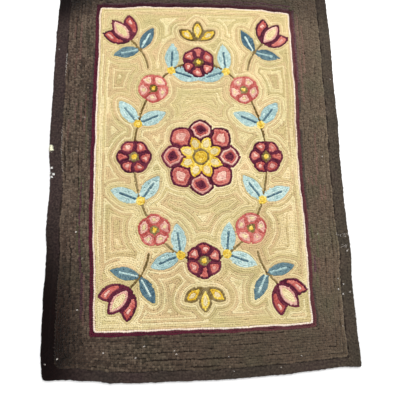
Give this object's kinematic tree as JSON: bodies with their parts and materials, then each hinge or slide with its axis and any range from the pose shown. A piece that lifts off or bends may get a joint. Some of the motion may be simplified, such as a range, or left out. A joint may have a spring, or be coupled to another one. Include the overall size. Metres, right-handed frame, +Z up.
{
  "type": "hooked rug",
  "caption": "Flat oblong hooked wool rug: low rows of loops over a plain ground and a dark border, with a cloth binding folded round its uneven edge. It lies on a floor.",
  "frame": {"origin": "centre of the underside, on the floor", "axes": "+Y along the rug's length, +X across it, +Z up out of the pile"},
  "size_m": [0.6649, 0.939, 0.007],
  "materials": {
    "hooked_wool": "matt looped wool",
    "binding_cloth": "matt woven wool cloth"
  },
  "bodies": {
    "root": {"hooked_rug": "hooked_wool", "edge_binding": "binding_cloth"}
  },
  "joints": []
}
